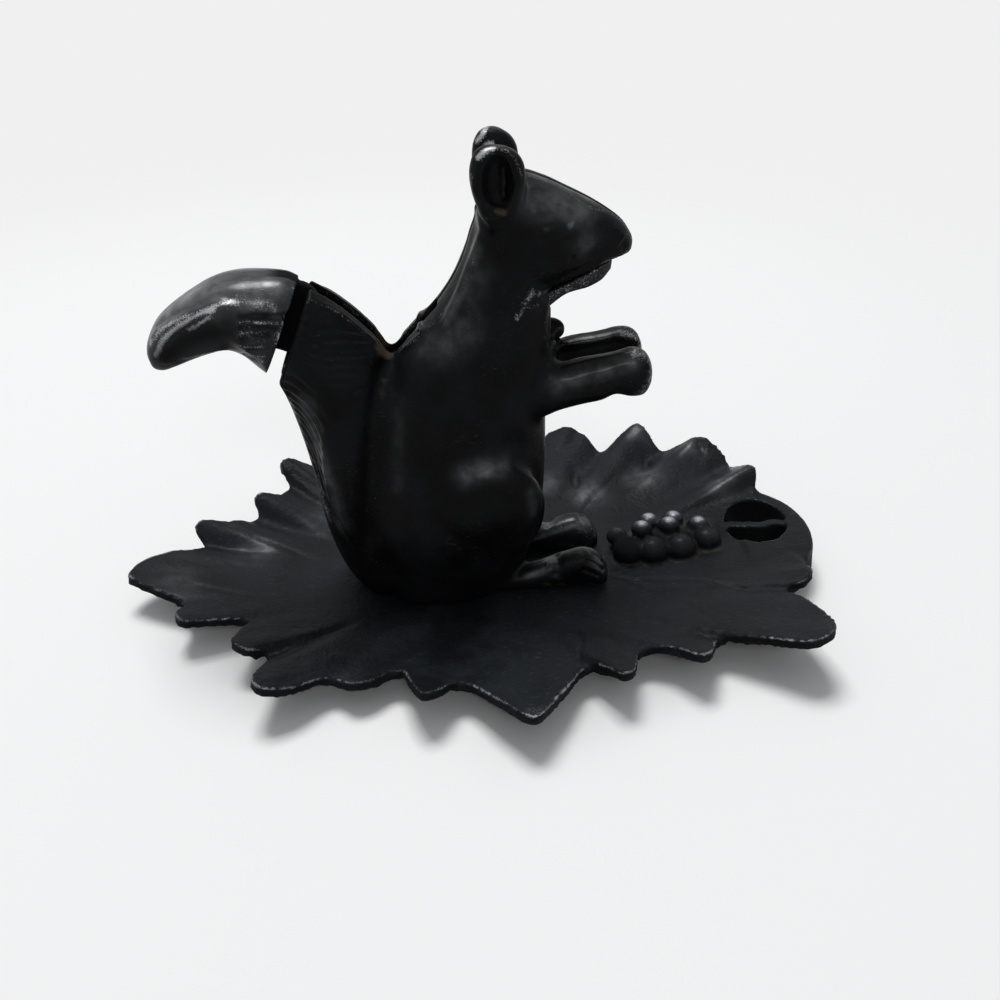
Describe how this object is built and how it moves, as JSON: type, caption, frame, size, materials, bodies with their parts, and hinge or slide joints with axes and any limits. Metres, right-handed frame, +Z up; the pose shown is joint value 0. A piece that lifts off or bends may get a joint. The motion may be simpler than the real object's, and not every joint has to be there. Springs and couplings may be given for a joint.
{
  "type": "lever nutcracker press",
  "caption": "Cast-iron lever nutcracker shaped as a sitting squirrel on a leaf-shaped tray: lifting the tail tip opens a toothed lower jaw, and pressing it down cracks the nut.",
  "frame": {"origin": "middle of the tray's outline, on the table that its feet stand on", "axes": "+Z up, +X the way the squirrel faces and towards the loop handle, +Y to the squirrel's left"},
  "size_m": [0.2749, 0.1952, 0.1788],
  "materials": {
    "tray_iron": "satin slate-black paint over rough cast iron, worn bright along the leaf's rim",
    "body_iron": "satin black paint over cast iron, worn bright on ears, paws and fur ridges",
    "lever_iron": "satin black paint polished by the hand, with silver scratches on its ridge",
    "dark_steel": "dull oiled steel with turned faces"
  },
  "bodies": {
    "press": {"leaf_tray": "tray_iron", "right_half": "body_iron", "left_half": "body_iron", "pivot_pin": "dark_steel", "chest_screw": "dark_steel", "haunch_screw": "dark_steel", "tail_screw": "dark_steel", "base_screw_right": "dark_steel", "base_screw_left": "dark_steel"},
    "lever": {"tail_lever": "lever_iron"}
  },
  "joints": [
    {"name": "lever_hinge", "type": "hinge", "parent": "press", "child": "lever", "pos_m": [0.00691, 0, 0.12067], "axis": [0, 1, 0], "range_deg": [0, 28]}
  ]
}
